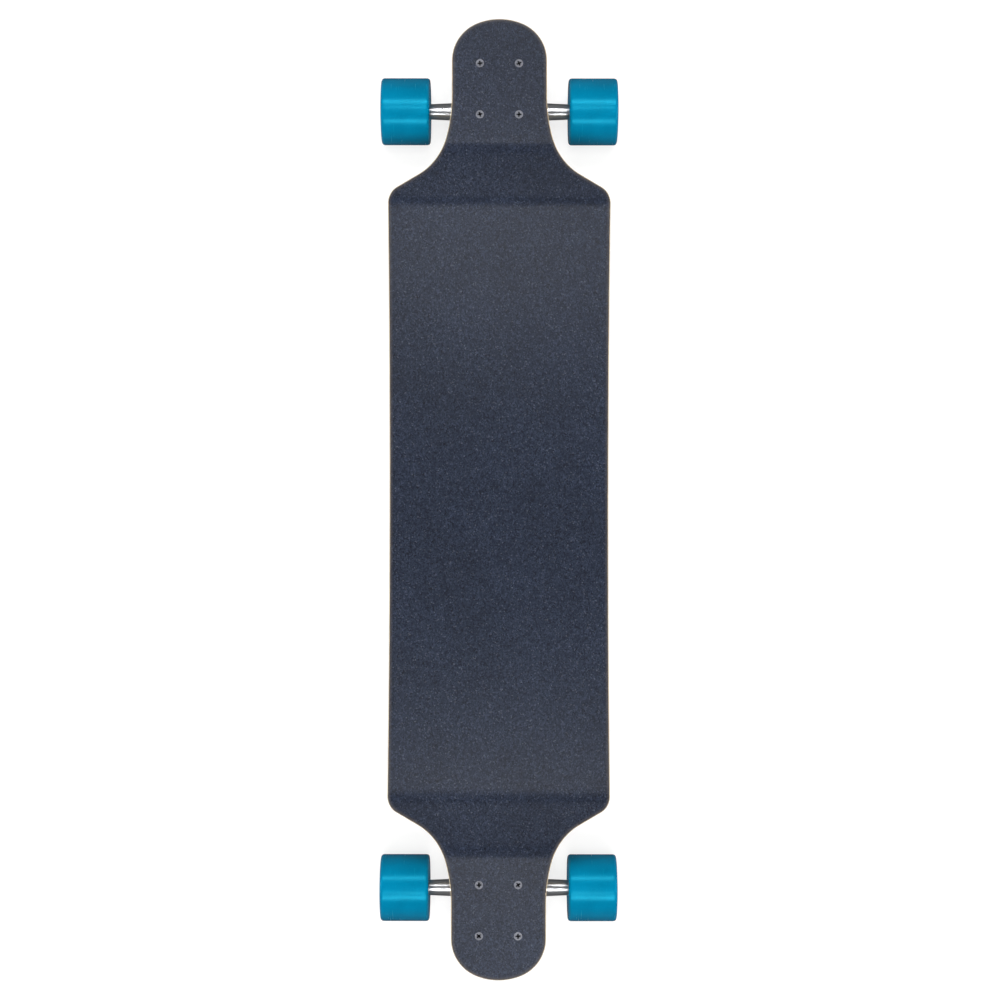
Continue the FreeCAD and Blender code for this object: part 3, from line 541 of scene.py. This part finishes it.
def bolt_seats(drop, bolt_head):
    """One mesh of the eight countersunk bolt holes, in the flat blank's heights."""
    head, hole, rim = bolt_head + 0.05 * MM, 2.7 * MM, 0.4 * MM
    above, below = 5 * MM, 30 * MM
    made = bmesh.new()
    for name in both_ends("truck_bolts"):
        low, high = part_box(name)
        face = high.z - DECK_LOW.z - drop
        section = ((face + above, 0), (face + above, head), (face - rim, head), (face - rim - head + hole, hole),
                   (face - below, hole), (face - below, 0))
        for x in (low.x + bolt_head, high.x - bolt_head):
            for y in (low.y + bolt_head, high.y - bolt_head):
                seat = turned_mesh("seat", section, Matrix.Translation((x, y, 0)), 40, closed=False)
                made.from_mesh(seat)
                bpy.data.meshes.remove(seat)
    return new_mesh("bolt_seats", made)


def press_tree(name):
    """Geometry Nodes press: bends a flat sheet to the platform, the two slopes and the two necks."""
    tree = bpy.data.node_groups.new(name, "GeometryNodeTree")
    tree.interface.new_socket("Geometry", in_out="INPUT", socket_type="NodeSocketGeometry")
    for label in ("Underside height", "Platform half length", "Drop", "Drop angle", "Low bend radius",
                  "High bend radius"):
        tree.interface.new_socket(label, in_out="INPUT", socket_type="NodeSocketFloat")
    tree.interface.new_socket("Finish", in_out="INPUT", socket_type="NodeSocketMaterial")
    tree.interface.new_socket("Geometry", in_out="OUTPUT", socket_type="NodeSocketGeometry")
    given = add(tree, "NodeGroupInput").outputs
    spot = add(tree, "ShaderNodeSeparateXYZ", (add(tree, "GeometryNodeInputPosition"),)).outputs
    lift = spot["Z"]
    sine, cosine, tangent = (add(tree, MATH, (given["Drop angle"],), operation=kind)
                             for kind in ("SINE", "COSINE", "TANGENT"))
    # Bend radii of the surface at this lift, and how far along X each bend and the slope run
    low = add(tree, MATH, (given["Low bend radius"], lift), operation="SUBTRACT")
    high = add(tree, MATH, (given["High bend radius"], lift), operation="ADD")
    low_run = add(tree, MATH, (low, sine), operation="MULTIPLY")
    high_run = add(tree, MATH, (high, sine), operation="MULTIPLY")
    both = add(tree, MATH, (low, high), operation="ADD")
    turned = add(tree, MATH, (both, cosine), operation="MULTIPLY")
    bends = add(tree, MATH, (both, turned), operation="SUBTRACT")
    left_over = add(tree, MATH, (given["Drop"], bends), operation="SUBTRACT")
    slope_run = add(tree, MATH, (left_over, tangent), operation="DIVIDE")
    # How far the point is into the low bend, into the slope, and from the end of the high bend
    from_middle = add(tree, MATH, (spot["X"],), operation="ABSOLUTE")
    past_flat = add(tree, MATH, (from_middle, given["Platform half length"]), operation="SUBTRACT")
    in_low = add(tree, "ShaderNodeClamp", (past_flat, 0.0, low_run))
    past_low = add(tree, MATH, (past_flat, low_run), operation="SUBTRACT")
    in_slope = add(tree, "ShaderNodeClamp", (past_low, 0.0, slope_run))
    past_slope = add(tree, MATH, (past_low, slope_run), operation="SUBTRACT")
    in_high = add(tree, "ShaderNodeClamp", (past_slope, 0.0, high_run))
    to_neck = add(tree, MATH, (high_run, in_high), operation="SUBTRACT")
    # Height of each bend's arc over its centre
    chords = []
    for radius, reach in ((low, in_low), (high, to_neck)):
        radius_square = add(tree, MATH, (radius, 2.0), operation="POWER")
        reach_square = add(tree, MATH, (reach, 2.0), operation="POWER")
        left = add(tree, MATH, (radius_square, reach_square), operation="SUBTRACT")
        chords.append(add(tree, MATH, (left,), operation="SQRT"))
    # Climb of the low bend, the straight slope and the high bend, which add up to the new height
    low_climb = add(tree, MATH, (low, chords[0]), operation="SUBTRACT")
    slope_climb = add(tree, MATH, (in_slope, tangent), operation="MULTIPLY")
    high_foot = add(tree, MATH, (high, cosine), operation="MULTIPLY")
    high_climb = add(tree, MATH, (chords[1], high_foot), operation="SUBTRACT")
    level = lift
    for rise in (given["Underside height"], low_climb, slope_climb, high_climb):
        level = add(tree, MATH, (level, rise), operation="ADD")
    bent = add(tree, "ShaderNodeCombineXYZ", (spot["X"], spot["Y"], level))
    moved = add(tree, "GeometryNodeSetPosition", {"Geometry": given["Geometry"], "Position": bent})
    real = add(tree, "GeometryNodeRealizeInstances", {"Geometry": moved})
    finished = add(tree, "GeometryNodeSetMaterial", {"Geometry": real, "Material": given["Finish"]})
    add(tree, "NodeGroupOutput", {"Geometry": finished})
    return tree


def pressed_sheet(name, board, rings, material):
    """Flat sheet, drilled for the bolts, with its layer and rim attributes, pressed to the board's side line."""
    drop = DECK_HIGH.z - DECK_LOW.z - board.thickness
    sheet = new_piece(name, flat_blank(name, board, rings), material)
    seats = new_object("bolt_seats", bolt_seats(drop, board.bolt_head))
    drill = sheet.modifiers.new("Drill", "BOOLEAN")
    drill.operation, drill.solver, drill.object = "DIFFERENCE", "EXACT", seats
    mesh = plain_mesh(sheet)
    bpy.data.objects.remove(seats)
    # Place in the flat blank, share of the deck's thickness, and distance from the sheet's own edge
    places = numpy.empty(len(mesh.vertices) * 3)
    mesh.vertices.foreach_get("co", places)
    mesh.attributes.new("blank", "FLOAT_VECTOR", "POINT").data.foreach_set("vector", places)
    places = places.reshape(-1, 3)
    edge = numpy.array(half_outline(board, min(inset for inset, lift in rings)))
    starts, spans = edge[:-1], edge[1:] - edge[:-1]
    flat = numpy.stack((places[:, 0], numpy.abs(places[:, 1])), axis=1)[:, None, :]
    share = numpy.clip(((flat - starts) * spans).sum(2) / (spans ** 2).sum(1), 0, 1)
    nearest = numpy.linalg.norm(flat - starts - share[..., None] * spans, axis=2).min(1)
    for label, values in (("ply", places[:, 2] / board.thickness), ("rim", nearest)):
        mesh.attributes.new(label, "FLOAT", "POINT").data.foreach_set("value", values)
    press = sheet.modifiers.new("Press", "NODES")
    press.node_group = bpy.data.node_groups.get("Press") or press_tree("Press")
    values = {"Underside height": DECK_LOW.z, "Platform half length": board.flat_x, "Drop": drop,
              "Drop angle": board.slope, "Low bend radius": board.low_bend, "High bend radius": board.high_bend,
              "Finish": material}
    for socket in press.node_group.interface.items_tree:
        if socket.in_out == "INPUT" and socket.name in values:
            press[socket.identifier] = values[socket.name]
    shade_smooth(plain_mesh(sheet))
    return sheet


class LONGBOARD_OT_deck(bpy.types.Operator):
    """Pressed maple deck with its rounded edge and bolt holes"""
    bl_idname = "longboard.deck"
    bl_label = "Deck"

    def execute(self, context):
        board = context.scene.longboard_board
        top, below, above = board.thickness, board.edge_radius, board.grip_inset
        bends = [math.radians(a) for a in range(0, 91, 18)]
        faces = (12 * MM, 4 * MM)
        rings = [(inset, 0) for inset in faces]
        rings += [(below * (1 - math.sin(a)), below * (1 - math.cos(a))) for a in bends]
        rings += [(above * (1 - math.sin(a)), top - above * (1 - math.cos(a))) for a in reversed(bends)]
        rings += [(inset, top) for inset in reversed(faces)]
        deck = pressed_sheet("pressed_deck", board, rings, varnished_maple(board))
        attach(deck, "board")
        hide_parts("deck")
        return {"FINISHED"}


class LONGBOARD_OT_griptape(bpy.types.Operator):
    """Gritted sheet over the whole top, filed back at the edge"""
    bl_idname = "longboard.griptape"
    bl_label = "Griptape"

    def execute(self, context):
        board = context.scene.longboard_board
        low, inset = board.thickness, board.grip_inset
        top = low + GRIP_TOP - DECK_HIGH.z
        # The filed corner is 0.4 mm wide, and the rings inside it carry the browned border
        rings = [(inset + 12 * MM, low), (inset, low), (inset, top - 0.4 * MM),
                 (inset + 0.12 * MM, top - 0.12 * MM)]
        rings += [(inset + step * MM, top) for step in (0.4, 1.2, 2.4, 4.5, 12)]
        grip = pressed_sheet("grit_sheet", board, rings, silicon_carbide_griptape(board))
        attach(grip, "board")
        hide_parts("grip_tape")
        return {"FINISHED"}


# ---------------------------------------------------------------- trucks

class LONGBOARD_OT_castings(bpy.types.Operator):
    """Polished hangers and tumbled baseplates"""
    bl_idname = "longboard.castings"
    bl_label = "Truck castings"

    def execute(self, context):
        truck = context.scene.longboard_truck
        # Permanent-mould aluminium, buffed: bright with soft cloudy streaks
        polished = metal("buffed_aluminium", truck.hanger, "#C6C8CC", grain_mm=12.0, smooth=0.27, rough=0.34,
                         relief=0.02)
        # The same casting, tumbled with stones: grey, dull, lightly pitted
        tumbled = metal("tumbled_aluminium", truck.baseplate, "#9FA2A7", grain_mm=0.9, smooth=0.38, rough=0.55,
                        relief=0.35)
        paint(polished, *both_ends("hanger"))
        paint(tumbled, *both_ends("baseplate"))
        return {"FINISHED"}


def paint_recess_shade(material):
    """Painted shade: near-black colour in the cross recesses of the bolt heads, just under the face of the head,
    standing in for their shadow.
    """
    tree = material.node_tree
    shader = tree.nodes["Principled BSDF"]
    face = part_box("front_truck_bolts")[1].z
    place = add(tree, "ShaderNodeTexCoord").outputs["Object"]
    height = add(tree, "ShaderNodeSeparateXYZ", (place,)).outputs["Z"]
    deep = add(tree, RANGE, (height, face - 0.15 * MM, face - 0.6 * MM))
    head = add(tree, MATH, (height, face - 2.2 * MM), operation="GREATER_THAN")
    share = add(tree, MATH, (deep, head), operation="MULTIPLY")
    plated = shader.inputs["Base Color"].links[0].from_socket
    # Painted shade: the plated colour turns near black down in the recess, in place of its shadow
    recess_shade = add(tree, MIX, {SHARE: share, FROM: plated, TO: linear("#121214")}, data_type="RGBA")
    feed(tree, shader, {"Base Color": recess_shade.outputs[MIXED]})


class LONGBOARD_OT_hardware(bpy.types.Operator):
    """Plated bolts, nuts, kingpins, washers, axles and speed rings"""
    bl_idname = "longboard.hardware"
    bl_label = "Steel hardware"

    def execute(self, context):
        truck = context.scene.longboard_truck
        # Bright zinc over cold-headed steel: clean silver with a faint warm and cool bloom
        plain = metal("bright_zinc_steel", truck.hardware, "#C4C0B8", grain_mm=3.0, smooth=0.22, rough=0.34,
                      relief=0.05)
        # Rolled threads keep a real pitch, 0.8 mm on bolts and 1.06 mm on axles and kingpins
        bolts = metal("rolled_bolt_thread", linear("#6E7077"), "#626369", grain_mm=1.2, smooth=0.42, rough=0.58,
                      relief=0.1, thread=(0, 0, 1), pitch_mm=0.8)
        # Painted shade in the cross recesses of the bolt heads
        paint_recess_shade(bolts)
        paint(bolts, *both_ends("truck_bolts"))
        slant = math.sqrt(0.5)
        for piece, along in (("axle", (0, 1, 0)), ("kingpin", (slant, 0, -slant))):
            rolled = metal(f"rolled_{piece}_thread", truck.hardware, "#B9B8B4", grain_mm=1.6, smooth=0.2,
                           rough=0.34, relief=0.1, thread=along, pitch_mm=1.06)
            paint(rolled, *both_ends(piece))
        paint(plain, *both_ends("truck_nuts", "kingpin_nut", "board_side_washer", "road_side_washer", "axle_nuts",
                                "speed_rings"))
        return {"FINISHED"}


class LONGBOARD_OT_bushings(bpy.types.Operator):
    """Cast bushings round the kingpins"""
    bl_idname = "longboard.bushings"
    bl_label = "Bushings"

    def execute(self, context):
        truck = context.scene.longboard_truck
        # Open-cast urethane, black: satin skin with fine turning marks
        finish = moulded("cast_bushing_urethane", truck.bushing, "#26272C", grain_mm=1.2, smooth=0.34, rough=0.5,
                         relief=0.2)
        bore, chamfer, seat, crown, steps = 5.06 * MM, 0.8 * MM, 4.2 * MM, 1.4 * MM, 8
        # Side, way along the kingpin, foot's distance from the hanger ring's middle, height, foot and top radius
        kinds = (("board_side", -1, 2.5 * MM, 15 * MM, 13.5 * MM, 13.5 * MM),
                 ("road_side", 1, 2.5 * MM, 13 * MM, 13 * MM, 10.5 * MM))
        for end in ENDS:
            place = steer_place(end)
            for kind, way, foot, height, foot_r, top_r in kinds:
                foot_z, top_z = way * foot, way * (foot + height)
                line = [(foot_z, bore), (foot_z, foot_r - chamfer), (foot_z + way * chamfer, foot_r)]
                for k in range(steps + 1):
                    t = k / steps
                    up = seat + (height - seat - crown) * t
                    radius = foot_r + (top_r - foot_r) * up / height
                    line.append((foot_z + way * up, radius + truck.bushing_bulge * math.sin(math.pi * t)))
                line += [(top_z - way * 0.5 * MM, top_r - 0.95 * MM), (top_z, top_r - 1.45 * MM), (top_z, bore)]
                piece = new_piece(f"{end}_{kind}_cast_bushing", turned_mesh("bushing", line, place, 72), finish)
                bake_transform(piece)
                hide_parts(f"{end}_{kind}_bushing")
        return {"FINISHED"}


class LONGBOARD_OT_pivot_cups(bpy.types.Operator):
    """Cast cups that carry the hanger noses in the baseplates"""
    bl_idname = "longboard.pivot_cups"
    bl_label = "Pivot cups"

    def execute(self, context):
        # Hard cast urethane: matt black with a faint grey bloom
        finish = moulded("cast_cup_urethane", linear("#17171A"), "#222226", grain_mm=0.9, smooth=0.5, rough=0.68,
                         relief=0.2)
        paint(finish, *both_ends("pivot_cup"))
        return {"FINISHED"}


# ---------------------------------------------------------------- wheels

class LONGBOARD_OT_tyres(bpy.types.Operator):
    """Cast blue tyres with rounded lips and dished faces"""
    bl_idname = "longboard.tyres"
    bl_label = "Tyres"

    def execute(self, context):
        wheel = context.scene.longboard_wheel
        finish = cast_wheel_urethane(wheel)
        half, outer = (TYRE_HIGH.y - TYRE_LOW.y) / 2, TYRE_RADIUS
        bond = (CORE_HIGH.z - CORE_LOW.z) / 2 + 0.02 * MM
        seat = (CORE_HIGH.y - CORE_LOW.y) / 2
        # Corners of one face from the core to the tread: along the axle, radius, rounding
        face = [(seat, bond, 0),
                (seat + 2.5 * MM, bond + 1.5 * MM, 1.2 * MM),
                (half - 1.5 * MM, outer - 9 * MM, 2.5 * MM),
                (half, outer - wheel.lip_radius, 0),
                (half, outer, wheel.lip_radius)]
        section = softened([(-along, radius, cut) for along, radius, cut in face] + face[::-1], steps=8)
        for name in WHEELS:
            low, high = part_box(f"{name}_tyre")
            place = Matrix.Translation((low + high) / 2) @ Matrix.Rotation(math.radians(-90), 4, "X")
            tyre = new_piece(f"{name}_cast_tyre", turned_mesh("tyre", section, place, 128), finish)
            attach(tyre, f"{name}_wheel")
            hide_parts(f"{name}_tyre")
        return {"FINISHED"}


class LONGBOARD_OT_bearings(bpy.types.Operator):
    """Nylon cores, ball bearings and the spacers between them"""
    bl_idname = "longboard.bearings"
    bl_label = "Cores and bearings"

    def execute(self, context):
        wheel = context.scene.longboard_wheel
        # Moulded glass-filled nylon: off-white and satin
        core = moulded("moulded_core_nylon", wheel.core, "#D2D0C7", grain_mm=0.8, smooth=0.34, rough=0.48,
                       relief=0.15)
        # Ground chrome steel: bright, slightly blue
        steel = metal("ground_bearing_steel", linear("#C3C6CA"), "#AEB2B8", grain_mm=0.7, smooth=0.1, rough=0.22,
                      relief=0.08)
        # Moulded nitrile rubber: black and dull
        rubber = moulded("moulded_shield_rubber", linear("#121214"), "#1D1D20", grain_mm=0.5, smooth=0.46,
                         rough=0.62, relief=0.25)
        # Moulded natural nylon: cream
        cage = moulded("moulded_cage_nylon", linear("#DCD2BA"), "#CFC3A6", grain_mm=0.6, smooth=0.4, rough=0.52,
                       relief=0.12)
        for name in WHEELS:
            paint(core, f"{name}_wheel_core")
            paint(steel, f"{name}_bearing_outer_rings", f"{name}_bearing_balls")
            paint(rubber, f"{name}_bearing_shields")
            paint(cage, f"{name}_bearing_cages")
        paint(steel, *both_ends("bearing_inner_rings", "bearing_spacers"))
        return {"FINISHED"}


# ---------------------------------------------------------------- stage

def studio_room():
    """White to the camera, dim to matt surfaces, and to mirrors dark with pale sides and a dim ceiling."""
    room = bpy.data.worlds.new("studio_room")
    room.use_nodes = True
    tree = room.node_tree
    ray = add(tree, "ShaderNodeLightPath").outputs
    aim = add(tree, "ShaderNodeTexCoord").outputs["Generated"]
    split = add(tree, "ShaderNodeSeparateXYZ", (aim,)).outputs
    wall_foot = add(tree, RANGE, (split["Z"], -0.45, -0.2, 0.08, 0.16))
    ceiling = add(tree, RANGE, (split["Z"], 0.4, 0.75, 1.0, 0.35))
    side = add(tree, MATH, (split["Y"],), operation="ABSOLUTE")
    side_wall = add(tree, RANGE, (side, 0.25, 0.6, 0.0, 0.3))
    walls = add(tree, MATH, (wall_foot, side_wall), operation="ADD")
    mirrored = add(tree, MATH, (walls, ceiling), operation="MULTIPLY")
    unseen = add(tree, MIX, {"Factor": ray["Is Glossy Ray"], "A": 0.12, "B": mirrored})
    strength = add(tree, MIX, {"Factor": ray["Is Camera Ray"], "A": unseen, "B": 0.76})
    feed(tree, tree.nodes["Background"], {"Color": linear("#FDFDFE"), "Strength": strength})
    return room


class LONGBOARD_OT_stage(bpy.types.Operator):
    """Pale floor, lights above, past the ends and beside the board, and a camera straight above"""
    bl_idname = "longboard.stage"
    bl_label = "Stage"

    def execute(self, context):
        scene, stage = context.scene, context.scene.longboard_stage
        camera = new_object("camera", bpy.data.cameras.new("camera"))
        camera.data.sensor_width, camera.data.lens = 36.0, stage.lens
        camera.data.clip_start, camera.data.clip_end = 0.05, 50.0
        # The nose points up in the picture, and the board stands a hair off the middle and off the upright
        camera.location = (-0.0003, -0.0011, stage.camera_height)
        camera.rotation_euler = (0, 0, math.radians(-89.934))
        scene.camera = camera
        made = bmesh.new()
        bmesh.ops.create_grid(made, x_segments=8, y_segments=8, size=6.0)
        floor = new_piece("floor", new_mesh("floor", made), studio_paper(stage))
        floor.visible_glossy = False
        length, deck_height = 1.6, 0.1
        # Place, point along the board that it faces, watts, width, spread in degrees, whether mirrors see it
        for name, spot, faced, power, width, spread, mirrored in (
                ("key", (0, 0, 4.2), 0, stage.key_power, 1.2, 180, False),
                ("nose_sheen", (0.78, 0, 4.0), 0.35, stage.sheen_power, 0.36, 18, True),
                ("tail_sheen", (-1.0, 0, 4.0), -0.35, stage.sheen_power, 0.36, 18, True),
                ("nose_softbox", (1.25, 0, 1.85), 0.125, stage.softbox_power, 0.4, 180, True),
                ("tail_softbox", (-1.25, 0, 1.85), -0.125, stage.softbox_power, 0.4, 180, True),
                ("left_fill", (0, 2.4, 1.3), 0, stage.fill_power, 1.0, 180, True),
                ("right_fill", (0, -2.4, 1.3), 0, stage.fill_power, 1.0, 180, True)):
            light = bpy.data.lights.new(name, "AREA")
            light.shape, light.size, light.size_y, light.energy = "RECTANGLE", length, width, power
            light.spread = math.radians(spread)
            lamp = new_object(name, light)
            lamp.location = spot
            lamp.visible_camera = False
            lamp.visible_glossy = mirrored
            aim = Vector((faced, 0, deck_height)) - lamp.location
            lamp.rotation_euler = aim.to_track_quat("-Z", "Y").to_euler()
        scene.world = studio_room()
        scene.view_settings.view_transform = "Standard"
        return {"FINISHED"}


class LONGBOARD_PT_pieces(bpy.types.Panel):
    """Lists the longboard's pieces in the 3D view's sidebar"""
    bl_idname = "LONGBOARD_PT_pieces"
    bl_label = "Longboard"
    bl_space_type = "VIEW_3D"
    bl_region_type = "UI"
    bl_category = "Longboard"

    def draw(self, context):
        for operator in OPERATORS:
            self.layout.operator(operator.bl_idname)
        for group in SETTINGS:
            values = getattr(context.scene, group)
            box = self.layout.box()
            for name in values.bl_rna.properties.keys():
                if name not in ("rna_type", "name"):
                    box.prop(values, name)


OPERATORS = (LONGBOARD_OT_stage, LONGBOARD_OT_deck, LONGBOARD_OT_griptape, LONGBOARD_OT_castings,
             LONGBOARD_OT_hardware, LONGBOARD_OT_bushings, LONGBOARD_OT_pivot_cups, LONGBOARD_OT_tyres,
             LONGBOARD_OT_bearings)
SETTINGS = {"longboard_board": BoardSettings, "longboard_wheel": WheelSettings,
            "longboard_truck": TruckSettings, "longboard_stage": StageSettings}


def register():
    """Registers the settings, the operators and the panel."""
    for name, group in SETTINGS.items():
        bpy.utils.register_class(group)
        setattr(bpy.types.Scene, name, PointerProperty(type=group))
    for kind in OPERATORS + (LONGBOARD_PT_pieces,):
        bpy.utils.register_class(kind)


def unregister():
    """Removes what register() added."""
    for kind in (LONGBOARD_PT_pieces,) + OPERATORS[::-1]:
        bpy.utils.unregister_class(kind)
    for name, group in SETTINGS.items():
        delattr(bpy.types.Scene, name)
        bpy.utils.unregister_class(group)


def main():
    """Builds every piece in order."""
    register()
    for operator in OPERATORS:
        group, name = operator.bl_idname.split(".")
        getattr(getattr(bpy.ops, group), name)()


if __name__ == "__main__":
    main()
